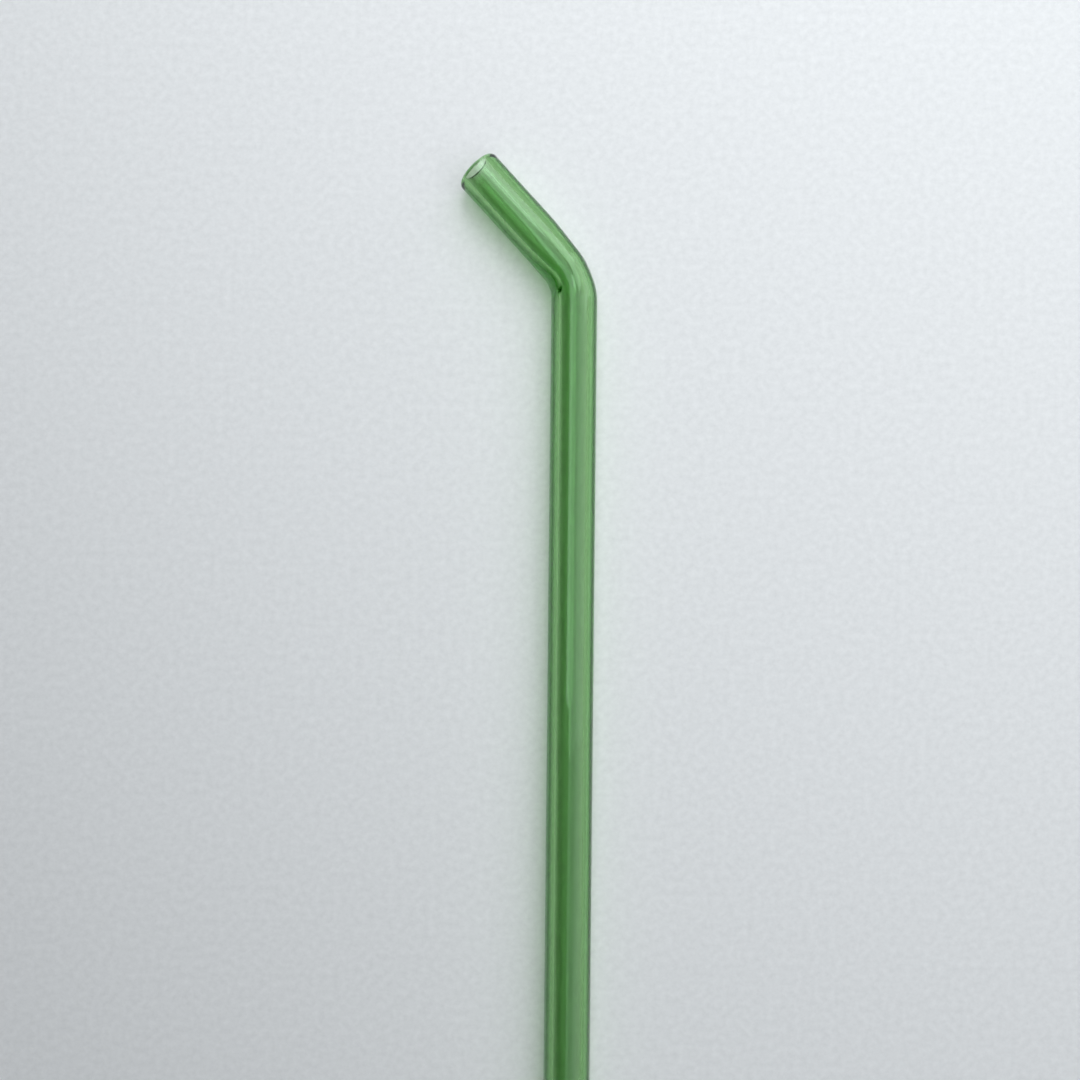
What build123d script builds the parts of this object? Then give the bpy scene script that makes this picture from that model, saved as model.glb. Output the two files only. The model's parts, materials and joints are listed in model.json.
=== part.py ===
from build123d import *
from math import cos, pi, radians, sin, tan
import os

# A bent drinking straw of coloured glass: one drawn tube, bent once by hand in a flame,
# with both ends fire-polished. It lies flat, as it comes to rest on a table.
# Lengths in millimetres, angles in degrees. The stem runs along +Y, from its foot to the
# bend, and the arm turns from there towards -X. +Z is up, and the floor is at zero.

# Tube
tube_diameter = 9.5
wall = 1.9

# Legs, each measured along its own axis from the point where the two axes cross
stem_length = 199.5
arm_length = 29.9
turn = 42.9

# Bend: where the tube was bent, the outside drew in and thinned, and the inside piled up.
# The softened length starts on the stem, peaks just past the middle of the bend and ends on the arm,
# each as a share of half of the bend's arc.
bend_radius = 10.0
bend_start_share = 1.15
bend_peak_share = 0.27
bend_end_share = 3.2
draw_in = 0.62
pile_up = 0.14
thinned_wall = 1.83
crown_wall = 2.1
piled_wall = 2.45
bend_sections_stem = 6
bend_sections_arm = 9

# Lips: the flame rounds both edges of each end, the outer one more, and leaves next to no flat between them
lip_outer_share = 0.72
lip_inner_share = 0.2

tube_radius = tube_diameter / 2
half_arc = bend_radius * radians(turn) / 2
arc_tangent = bend_radius * tan(radians(turn) / 2)
bend_start = -half_arc * bend_start_share
bend_peak = half_arc * bend_peak_share
bend_end = half_arc * bend_end_share
stem_straight = stem_length - arc_tangent + half_arc + bend_start
arm_straight = arm_length - arc_tangent + half_arc - bend_end


def section_plane(run):
    """The plane square to the centreline at a run from the middle of the bend, negative on the stem's side.

    Its first axis points down and its second to the inside of the bend.
    """
    heading = min(max((run + half_arc) / bend_radius, 0), radians(turn))
    before = min(run + half_arc, 0)
    after = max(run - half_arc, 0)
    x = bend_radius * (cos(heading) - 1) - after * sin(heading)
    y = stem_length - arc_tangent + before + bend_radius * sin(heading) + after * cos(heading)
    return Plane(origin=(x, y, tube_radius), x_dir=(0, 0, -1), z_dir=(-sin(heading), cos(heading), 0))


def bend_runs():
    """Runs of the bend's sections, from its start on the stem, through its peak, to its end on the arm."""
    stem_step = (bend_peak - bend_start) / bend_sections_stem
    arm_step = (bend_end - bend_peak) / bend_sections_arm
    on_stem_side = [bend_start + i * stem_step for i in range(bend_sections_stem)]
    on_arm_side = [bend_peak + i * arm_step for i in range(bend_sections_arm + 1)]
    return on_stem_side + on_arm_side


def bend_share(run):
    """How much of the bend's own form a section has: none at both ends of the bend, all at its peak."""
    reach = bend_peak - bend_start if run < bend_peak else bend_end - bend_peak
    return cos(pi / 2 * (run - bend_peak) / reach) ** 2


def bent_radius(run):
    """Radius of the bend's outside, which is smaller where the tube drew in."""
    return tube_radius - bend_share(run) * (draw_in - pile_up) / 2


def outside_section(run):
    """Round section of the bend's outside, shifted inwards where the tube drew in and piled up."""
    shift = bend_share(run) * (draw_in + pile_up) / 2
    return section_plane(run) * Pos(0, shift) * Circle(bent_radius(run))


def bore_section(run):
    """Oval section of the bend's bore, with its own wall outside it, inside it, and above and below."""
    share = bend_share(run)
    outer_reach = tube_radius - share * draw_in - (wall + share * (thinned_wall - wall))
    inner_reach = tube_radius + share * pile_up - (wall + share * (piled_wall - wall))
    half_height = bent_radius(run) - (wall + share * (crown_wall - wall))
    oval = Ellipse(half_height, (inner_reach + outer_reach) / 2)
    return section_plane(run) * Pos(0, (inner_reach - outer_reach) / 2) * oval


def straight_tube(run, length):
    """A plain length of tube, from an end of the bend outwards along the centreline."""
    ring = Circle(tube_radius) - Circle(tube_radius - wall)
    return extrude(section_plane(run) * ring, amount=length)


def bent_tube():
    """The bent length of tube, lofted through its sections outside and inside."""
    outside = loft([outside_section(run) for run in bend_runs()])
    bore = loft([bore_section(run) for run in bend_runs()])
    return outside - bore


def polish(tube):
    """Round the outer and then the inner edge of both ends."""
    ends = tube.faces().filter_by(GeomType.PLANE)
    outer_edges = [edge for end in ends for edge in end.outer_wire().edges()]
    tube = fillet(outer_edges, wall * lip_outer_share)
    ends = tube.faces().filter_by(GeomType.PLANE)
    inner_edges = [edge for end in ends for wire in end.inner_wires() for edge in wire.edges()]
    return fillet(inner_edges, wall * lip_inner_share)


stem = straight_tube(bend_start, -stem_straight)
arm = straight_tube(bend_end, arm_straight)
straw = polish(stem + bent_tube() + arm)

# The origin is on the floor, under the middle of the straw's plan
box = straw.bounding_box()
straw = Pos(-box.center().X, -box.center().Y, -box.min.Z) * straw

os.makedirs("parts", exist_ok=True)
export_step(straw, "parts/glass_straw.step")
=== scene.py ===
"""A bent drinking straw of clear green glass, lying flat on pale paper, seen from straight above."""
import json
import logging
import math
from dataclasses import dataclass, field
from enum import Enum
from typing import Any

import bpy
import numpy as np
from numpy.typing import NDArray
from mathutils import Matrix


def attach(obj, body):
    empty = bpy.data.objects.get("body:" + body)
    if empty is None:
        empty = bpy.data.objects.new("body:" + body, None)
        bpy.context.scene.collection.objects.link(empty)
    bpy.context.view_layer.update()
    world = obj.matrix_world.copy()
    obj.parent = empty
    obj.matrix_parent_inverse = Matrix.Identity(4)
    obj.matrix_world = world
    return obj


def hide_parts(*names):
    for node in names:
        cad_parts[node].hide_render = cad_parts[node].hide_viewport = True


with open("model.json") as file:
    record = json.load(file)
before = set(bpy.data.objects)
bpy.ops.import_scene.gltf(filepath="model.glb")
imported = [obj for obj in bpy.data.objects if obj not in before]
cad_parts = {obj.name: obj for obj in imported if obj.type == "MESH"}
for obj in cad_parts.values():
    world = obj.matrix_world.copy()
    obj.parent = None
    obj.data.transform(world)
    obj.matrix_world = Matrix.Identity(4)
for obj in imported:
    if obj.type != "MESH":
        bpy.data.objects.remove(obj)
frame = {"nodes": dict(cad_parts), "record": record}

Array = NDArray[np.float64]

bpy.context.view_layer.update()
MM = 0.001
UP = np.array([0.0, 0.0, 1.0])
OVERHEAD = 90.0          # degrees, the elevation of a lamp that hangs level

log = logging.getLogger("glass_straw")


class Mount(Enum):
    """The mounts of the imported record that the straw's axes and radii are read from."""

    STEM_OUTSIDE = "stem_outside"
    STEM_BORE = "stem_bore"
    ARM_OUTSIDE = "arm_outside"

    def entry(self) -> dict[str, Any]:
        """This mount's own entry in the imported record."""
        return next(m for m in frame["record"]["mounts"] if m["name"] == self.value)

    def point(self) -> Array:
        """A point on the mount's axis, in metres."""
        return np.array(self.entry()["pos_m"], dtype=float)

    def heading(self) -> Array:
        """The unit vector of the mount's axis."""
        axis = np.array(self.entry()["axis"], dtype=float)
        return axis / np.linalg.norm(axis)

    def radius(self) -> float:
        """The mount's radius in metres."""
        return self.entry()["dims"]["r_mm"] * MM


class Nodes:
    """A material's or a world's node tree, emptied, with short ways to add, set and join nodes."""

    def __init__(self, owner: Any) -> None:
        """Takes a material or a world and clears its tree.

        Args:
            owner: the material or world whose nodes are to be made.
        """
        owner.use_nodes = True
        self.tree = owner.node_tree
        self.tree.nodes.clear()

    def add(self, kind: str, **settings: Any) -> bpy.types.Node:
        """Adds one node.

        Args:
            kind: the node's type name without its "ShaderNode" prefix.
            settings: properties of the node itself, such as an operation.

        Returns:
            The new node.
        """
        node = self.tree.nodes.new("ShaderNode" + kind)
        for name, value in settings.items():
            setattr(node, name, value)
        return node

    def set(self, node: bpy.types.Node, **values: Any) -> None:
        """Sets a node's input sockets by name, with "_" standing for a space.

        Args:
            node: the node whose sockets are set.
            values: socket names and the values they get.
        """
        for name, value in values.items():
            node.inputs[name.replace("_", " ")].default_value = value

    def join(self, source: bpy.types.NodeSocket, target: bpy.types.NodeSocket) -> None:
        """Links an output socket to an input socket."""
        self.tree.links.new(source, target)


@dataclass(frozen=True)
class GreenGlass:
    """Clear drawn glass, tinted through its whole thickness."""

    ior: float = 1.47
    roughness: float = 0.0
    transmission: float = 1.0
    tint: tuple[float, float, float, float] = (0.345, 0.69, 0.23, 1.0)
    tint_density: float = 400.0
    clear: tuple[float, float, float, float] = (1.0, 1.0, 1.0, 1.0)
    # painted reflection: a green specular tint above white that brightens and greens every reflection
    painted_green_reflection: tuple[float, float, float, float] = (1.1, 1.44, 1.13, 1.0)

    def material(self) -> bpy.types.Material:
        """Makes the glass: a smooth clear surface over an even green absorption.

        The surface's reflections are tinted green and brightened past white, a painted green reflection.

        Returns:
            The finished material.
        """
        material = bpy.data.materials.new("drawn_green_glass")
        nodes = Nodes(material)
        surface = nodes.add("BsdfPrincipled")
        nodes.set(surface, Base_Color=self.clear, Roughness=self.roughness, IOR=self.ior)
        # the specular tint paints a green reflection onto the surface
        nodes.set(surface, Transmission_Weight=self.transmission, Specular_Tint=self.painted_green_reflection)
        body = nodes.add("VolumeAbsorption")
        nodes.set(body, Color=self.tint, Density=self.tint_density)
        output = nodes.add("OutputMaterial")
        nodes.join(surface.outputs["BSDF"], output.inputs["Surface"])
        nodes.join(body.outputs["Volume"], output.inputs["Volume"])
        return material


@dataclass(frozen=True)
class PalePaper:
    """The pale paper that the straw lies on."""

    shade: float = 0.81
    light: float = 0.92
    roughness: float = 0.95
    specular: float = 0.2
    grains_per_metre: float = 700.0
    grain_detail: float = 4.0
    grain_roughness: float = 0.65
    grain_range: tuple[float, float] = (0.25, 0.75)

    def material(self) -> bpy.types.Material:
        """Makes the paper: a dull pale surface, whose brightness varies faintly with a fine grain.

        Returns:
            The finished material.
        """
        material = bpy.data.materials.new("pale_paper")
        nodes = Nodes(material)
        surface = nodes.add("BsdfPrincipled")
        nodes.set(surface, Roughness=self.roughness, Specular_IOR_Level=self.specular)
        place = nodes.add("TexCoord")
        grain = nodes.add("TexNoise")
        nodes.set(grain, Scale=self.grains_per_metre, Detail=self.grain_detail)
        nodes.set(grain, Roughness=self.grain_roughness)
        tone = nodes.add("MapRange")
        lowest, highest = self.grain_range
        nodes.set(tone, From_Min=lowest, From_Max=highest, To_Min=self.shade, To_Max=self.light)
        nodes.join(place.outputs["Object"], grain.inputs["Vector"])
        nodes.join(grain.outputs["Fac"], tone.inputs["Value"])
        nodes.join(tone.outputs["Result"], surface.inputs["Base Color"])
        output = nodes.add("OutputMaterial")
        nodes.join(surface.outputs["BSDF"], output.inputs["Surface"])
        return material


@dataclass
class Straw:
    """The bent tube: a long stem, a hand-made bend and a short arm, with fire-polished lips.

    Runs are measured along the centreline from the middle of the bend, negative towards the stem.
    """

    corner: Array
    stem_heading: Array
    arm_heading: Array
    outer_radius: float
    bore_radius: float
    stem_length: float
    arm_length: float
    bend_radius: float = 10.0 * MM
    bend_start_share: float = 1.3
    bend_peak_share: float = 0.15
    bend_end_share: float = 3.4
    draw_in: float = 0.62 * MM
    pile_up: float = 0.14 * MM
    thinned_wall: float = 1.89 * MM
    crown_wall: float = 2.26 * MM
    piled_wall: float = 2.53 * MM
    lip_outer_share: float = 0.58
    lip_inner_share: float = 0.37
    lip_stand: float = 0.3 * MM
    points_around: int = 160
    stem_rings: int = 60
    bend_rings: int = 60
    arm_rings: int = 24
    lip_rings: int = 16
    glass: GreenGlass = field(default_factory=GreenGlass)

    @classmethod
    def from_frame(cls) -> "Straw":
        """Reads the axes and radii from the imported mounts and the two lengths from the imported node.

        The axes cross where the stem's line comes nearest to the arm's, and each leg is as long as the node's
        furthest point along it.

        Returns:
            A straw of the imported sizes.
        """
        stem_heading = -Mount.STEM_OUTSIDE.heading()
        arm_heading = Mount.ARM_OUTSIDE.heading()
        gap = Mount.ARM_OUTSIDE.point() - Mount.STEM_OUTSIDE.point()
        cosine = stem_heading @ arm_heading
        reach = (gap @ stem_heading - cosine * (gap @ arm_heading)) / (1.0 - cosine**2)
        corner = Mount.STEM_OUTSIDE.point() + reach * stem_heading
        mesh = frame["nodes"]["glass_straw"].data
        places = np.empty(3 * len(mesh.vertices), dtype=np.float32)
        mesh.vertices.foreach_get("co", places)
        places = places.reshape(-1, 3) - corner
        return cls(
            corner=corner,
            stem_heading=stem_heading,
            arm_heading=arm_heading,
            outer_radius=Mount.STEM_OUTSIDE.radius(),
            bore_radius=Mount.STEM_BORE.radius(),
            stem_length=float((places @ -stem_heading).max()),
            arm_length=float((places @ arm_heading).max()),
        )

    @property
    def turn(self) -> float:
        """The angle between the two legs' headings."""
        return math.acos(float(self.stem_heading @ self.arm_heading))

    @property
    def half_arc(self) -> float:
        """Half of the length of the centreline's arc."""
        return self.bend_radius * self.turn / 2

    @property
    def arc_tangent(self) -> float:
        """How far from the crossing of the axes the arc begins."""
        return self.bend_radius * math.tan(self.turn / 2)

    @property
    def bend_start(self) -> float:
        """The run on the stem where the softened length starts."""
        return -self.half_arc * self.bend_start_share

    @property
    def bend_peak(self) -> float:
        """The run where the bend's own form is fullest."""
        return self.half_arc * self.bend_peak_share

    @property
    def bend_end(self) -> float:
        """The run on the arm where the softened length ends."""
        return self.half_arc * self.bend_end_share

    @property
    def wall(self) -> float:
        """The plain tube's wall."""
        return self.outer_radius - self.bore_radius

    @property
    def inside(self) -> Array:
        """The unit vector from the stem to the inside of the bend."""
        across = self.arm_heading - (self.arm_heading @ self.stem_heading) * self.stem_heading
        return across / np.linalg.norm(across)

    @property
    def foot_run(self) -> float:
        """The run of the stem's end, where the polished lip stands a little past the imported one."""
        return -(self.stem_length + self.lip_stand - self.arc_tangent + self.half_arc)

    @property
    def mouth_run(self) -> float:
        """The run of the arm's end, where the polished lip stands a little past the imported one."""
        return self.arm_length + self.lip_stand - self.arc_tangent + self.half_arc

    def centreline(self, run: Array) -> tuple[Array, Array]:
        """A straight line, an arc of the bend's radius and a second straight line, joined without a kink.

        Args:
            run: runs along the centreline.

        Returns:
            The points of the centreline and, at each, the unit vector to the inside of the bend.
        """
        angle = np.clip((run + self.half_arc) / self.bend_radius, 0.0, self.turn)
        before = np.minimum(run + self.half_arc, 0.0)
        after = np.maximum(run - self.half_arc, 0.0)
        along = before - self.arc_tangent + self.bend_radius * np.sin(angle) + after * np.cos(angle)
        across = self.bend_radius * (1.0 - np.cos(angle)) + after * np.sin(angle)
        points = self.corner + np.outer(along, self.stem_heading) + np.outer(across, self.inside)
        inward = np.outer(np.cos(angle), self.inside) - np.outer(np.sin(angle), self.stem_heading)
        return points, inward

    def bend_share(self, run: Array) -> Array:
        """How much of the bend's own form a section has: a squared cosine of how far it is from the peak.

        Args:
            run: runs along the centreline.

        Returns:
            A share for each run: 1 at the peak, and 0 at both ends of the bend and past them.
        """
        past = run - self.bend_peak
        reach = np.where(past < 0.0, self.bend_peak - self.bend_start, self.bend_end - self.bend_peak)
        return np.cos(math.pi / 2 * np.clip(np.abs(past) / reach, 0.0, 1.0)) ** 2

    def outside_rings(self, run: Array) -> Array:
        """Rings of the outside: circles that draw in at the outside of the bend and pile up at its inside.

        Args:
            run: runs along the centreline.

        Returns:
            A row for each ring: its run, half-width across the bend, half-height and shift to the inside.
        """
        share = self.bend_share(run)
        radius = self.outer_radius - share * (self.draw_in - self.pile_up) / 2
        shift = share * (self.draw_in + self.pile_up) / 2
        return np.column_stack([run, radius, radius, shift])

    def bore_rings(self, run: Array) -> Array:
        """Rings of the bore: circles that turn oval in the bend, within its thinned, crown and piled walls.

        Args:
            run: runs along the centreline.

        Returns:
            A row for each ring: its run, half-width across the bend, half-height and shift to the inside.
        """
        share = self.bend_share(run)
        outer_reach = self.bore_radius - share * (self.draw_in + self.thinned_wall - self.wall)
        inner_reach = self.bore_radius + share * (self.pile_up - self.piled_wall + self.wall)
        height = self.bore_radius - share * ((self.draw_in - self.pile_up) / 2 + self.crown_wall - self.wall)
        width = (inner_reach + outer_reach) / 2
        shift = (inner_reach - outer_reach) / 2
        return np.column_stack([run, width, height, shift])

    def lip_rings_at(self, end_run: float, outwards: float) -> Array:
        """Rings of a lip, from the outside to the bore: a quarter circle, a narrow flat and a quarter circle.

        Args:
            end_run: the run of the end face.
            outwards: 1 at the mouth and -1 at the foot, where runs are negative.

        Returns:
            A row for each ring, as for the outside, without the rings where the lip meets the straight tube.
        """
        outer = self.wall * self.lip_outer_share
        inner = self.wall * self.lip_inner_share
        angle = np.linspace(0.0, math.pi / 2, self.lip_rings)
        depth = np.concatenate([outer * (1.0 - np.sin(angle[1:])), inner * (1.0 - np.cos(angle[:-1]))])
        radius = np.concatenate([
            self.outer_radius - outer * (1.0 - np.cos(angle[1:])),
            self.bore_radius + inner * (1.0 - np.sin(angle[:-1])),
        ])
        return np.column_stack([end_run - outwards * depth, radius, radius, np.zeros_like(radius)])

    def straight_and_bent_runs(self, setback: float) -> Array:
        """Runs from the foot to the mouth, closest together in the bend.

        Args:
            setback: how far from each end the first and last of them stand.

        Returns:
            The runs in rising order.
        """
        stem = np.linspace(self.foot_run + setback, self.bend_start, self.stem_rings, endpoint=False)
        bend = np.linspace(self.bend_start, self.bend_end, self.bend_rings, endpoint=False)
        arm = np.linspace(self.bend_end, self.mouth_run - setback, self.arm_rings)
        return np.concatenate([stem, bend, arm])

    def wall_section(self) -> Array:
        """The closed loop of rings: outside, mouth's lip, bore back to the foot, and foot's lip.

        Returns:
            A row for each ring: its run, half-width across the bend, half-height and shift to the inside.
        """
        outside = self.outside_rings(self.straight_and_bent_runs(self.wall * self.lip_outer_share))
        bore = self.bore_rings(self.straight_and_bent_runs(self.wall * self.lip_inner_share))
        mouth = self.lip_rings_at(self.mouth_run, 1.0)
        foot = self.lip_rings_at(self.foot_run, -1.0)
        return np.concatenate([outside, mouth, bore[::-1], foot[::-1]])

    def surface(self) -> Array:
        """The tube as a grid closed both ways: each ring of the wall's section, turned round the centreline.

        A point is the centreline's point, plus the inward vector times the ring's shift and half-width times
        the cosine of the angle, plus the upward vector times the half-height times the sine.

        Returns:
            Points by ring and by angle.
        """
        rings = self.wall_section()
        points, inward = self.centreline(rings[:, 0])
        angle = np.linspace(0.0, 2 * math.pi, self.points_around, endpoint=False)
        across = rings[:, 3, None] + rings[:, 1, None] * np.cos(angle)
        height = rings[:, 2, None] * np.sin(angle)
        return points[:, None, :] + across[..., None] * inward[:, None, :] + height[..., None] * UP

    def build(self) -> bpy.types.Object:
        """Makes the tube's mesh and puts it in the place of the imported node.

        Returns:
            The straw.
        """
        grid = self.surface()
        rings, around = grid.shape[:2]
        index = np.arange(rings * around).reshape(rings, around)
        beside = np.roll(index, -1, axis=1)
        faces = np.stack([index, beside, np.roll(beside, -1, axis=0), np.roll(index, -1, axis=0)], axis=-1)
        mesh = bpy.data.meshes.new("glass_tube")
        mesh.from_pydata(grid.reshape(-1, 3).tolist(), [], faces.reshape(-1, 4).tolist())
        mesh.polygons.foreach_set("use_smooth", np.ones(len(mesh.polygons), dtype=bool))
        straw = bpy.data.objects.new("glass_tube", mesh)
        bpy.context.scene.collection.objects.link(straw)
        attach(straw, "root")
        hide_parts("glass_straw")
        self.dress(straw)
        return straw

    def dress(self, straw: bpy.types.Object) -> None:
        """Gives the straw its glass."""
        straw.data.materials.append(self.glass.material())


@dataclass(frozen=True)
class Softbox:
    """A flat rectangular lamp with an even glow, level over the straw or tilted towards it.

    The azimuth and the elevation, in degrees, say where a tilted lamp stands as seen from the straw.
    """

    name: str
    place: tuple[float, float, float]
    size: tuple[float, float]
    radiance: float
    azimuth: float = 0.0
    elevation: float = OVERHEAD
    colour: tuple[float, float, float] = (0.925, 0.968, 1.0)

    def build(self) -> bpy.types.Object:
        """Makes the lamp. Its power is its radiance times its area times pi.

        Returns:
            The lamp.
        """
        light = bpy.data.lights.new(self.name, "AREA")
        light.shape = "RECTANGLE"
        light.size, light.size_y = self.size
        light.energy = self.radiance * self.size[0] * self.size[1] * math.pi
        light.color = self.colour
        lamp = bpy.data.objects.new(self.name, light)
        bpy.context.scene.collection.objects.link(lamp)
        lamp.location = self.place
        if self.elevation < OVERHEAD:
            tilt = math.radians(OVERHEAD - self.elevation)
            lamp.rotation_euler = (tilt, 0.0, math.radians(self.azimuth) + math.pi / 2)
        return lamp


@dataclass
class Studio:
    """The paper, the soft light and the camera above."""

    paper_size: float = 1.1
    backdrop: tuple[float, float, float, float] = (0.94, 0.965, 1.0, 1.0)
    lamps: tuple[Softbox, ...] = (
        Softbox("skylight_near", (-0.108, 0.085, 0.45), (0.116, 0.31), radiance=1.95),
        Softbox("skylight_far", (-0.005, 0.47, 0.45), (0.17, 0.46), radiance=3.6),
        Softbox("ceiling", (0.1, 0.07, 0.45), (0.3, 0.34), radiance=1.3),
        Softbox("ceiling_near", (0.1, -0.23, 0.45), (0.3, 0.26), radiance=0.9),
        Softbox("ceiling_edge", (0.375, -0.06, 0.45), (0.25, 0.6), radiance=0.35),
        Softbox("window", (0.163, 0.397, 0.36), (0.3, 0.3), radiance=2.3, azimuth=62.0, elevation=46.0),
        Softbox("side", (0.347, 0.07, 0.36), (0.34, 0.3), radiance=1.1, elevation=46.0),
        Softbox("side_near", (0.347, -0.23, 0.36), (0.26, 0.3), radiance=0.75, elevation=46.0),
        Softbox("low_side", (0.403, 0.332, 0.171), (0.3, 0.3), radiance=1.3, azimuth=31.0, elevation=20.0),
        Softbox("skylight_left", (-0.4, 0.5, 0.45), (0.3, 0.4), radiance=1.4),
        Softbox("low_far", (-0.025, 0.559, 0.171), (0.3, 0.3), radiance=1.8, azimuth=93.0, elevation=20.0),
    )
    image_px: float = 1080.0
    tube_px: float = 46.1
    focal_px: float = 1080.0
    corner_px: tuple[float, float] = (574.45, 276.9)
    roll: float = math.radians(0.572)
    sensor: float = 36.0
    nearest: float = 0.01
    paper: PalePaper = field(default_factory=PalePaper)

    def build_floor(self) -> bpy.types.Object:
        """Makes the sheet of paper, a flat square under the straw.

        Returns:
            The floor.
        """
        half = self.paper_size / 2
        corners = [(-half, -half, 0.0), (half, -half, 0.0), (half, half, 0.0), (-half, half, 0.0)]
        mesh = bpy.data.meshes.new("paper_floor")
        mesh.from_pydata(corners, [], [(0, 1, 2, 3)])
        mesh.materials.append(self.paper.material())
        floor = bpy.data.objects.new("paper_floor", mesh)
        bpy.context.scene.collection.objects.link(floor)
        return floor

    def build_light(self) -> None:
        """Makes the lamps, and a pale backdrop that only the camera sees."""
        for lamp in self.lamps:
            lamp.build()
        world = bpy.data.worlds.new("pale_backdrop")
        nodes = Nodes(world)
        ray = nodes.add("LightPath")
        sky = nodes.add("Background")
        nodes.set(sky, Color=self.backdrop)
        nodes.join(ray.outputs["Is Camera Ray"], sky.inputs["Strength"])
        output = nodes.add("OutputWorld")
        nodes.join(sky.outputs["Background"], output.inputs["Surface"])
        bpy.context.scene.world = world

    def build_camera(self, straw: Straw) -> bpy.types.Object:
        """Sets the camera straight above, so that tube and bend fall where they are in the photograph.

        The height is the focal length times the tube's width over its width in pixels. The camera's middle is
        the corner, less the corner's offset from the picture's middle along the camera's own right and up.

        Args:
            straw: the straw that is looked at.

        Returns:
            The camera.
        """
        pixel = 2 * straw.outer_radius / self.tube_px
        right = np.array([math.cos(self.roll), math.sin(self.roll), 0.0])
        top = np.array([-math.sin(self.roll), math.cos(self.roll), 0.0])
        aside = (self.corner_px[0] - self.image_px / 2) * pixel
        above = (self.image_px / 2 - self.corner_px[1]) * pixel
        place = straw.corner - right * aside - top * above + UP * self.focal_px * pixel
        data = bpy.data.cameras.new("camera")
        data.sensor_fit = "HORIZONTAL"
        data.sensor_width = self.sensor
        data.lens = self.focal_px / self.image_px * self.sensor
        data.clip_start = self.nearest
        camera = bpy.data.objects.new("camera", data)
        bpy.context.scene.collection.objects.link(camera)
        camera.location = place
        camera.rotation_euler = (0.0, 0.0, self.roll)
        bpy.context.scene.camera = camera
        return camera


def main() -> None:
    """Builds the straw and its setting, in order, and reports the camera, the tube and the floor."""
    logging.basicConfig(level=logging.INFO, format="%(name)s: %(message)s")
    bpy.context.scene.view_settings.view_transform = "Standard"
    bpy.context.scene.cycles.blur_glossy = 0.0
    straw = Straw.from_frame()
    studio = Studio()
    camera = studio.build_camera(straw)
    log.info("%s at %s", camera.name, [round(value, 4) for value in camera.location])
    tube = straw.build()
    log.info("%s has %d faces", tube.name, len(tube.data.polygons))
    floor = studio.build_floor()
    log.info("%s is part of the stage", floor.name)
    studio.build_light()


if __name__ == "__main__":
    main()
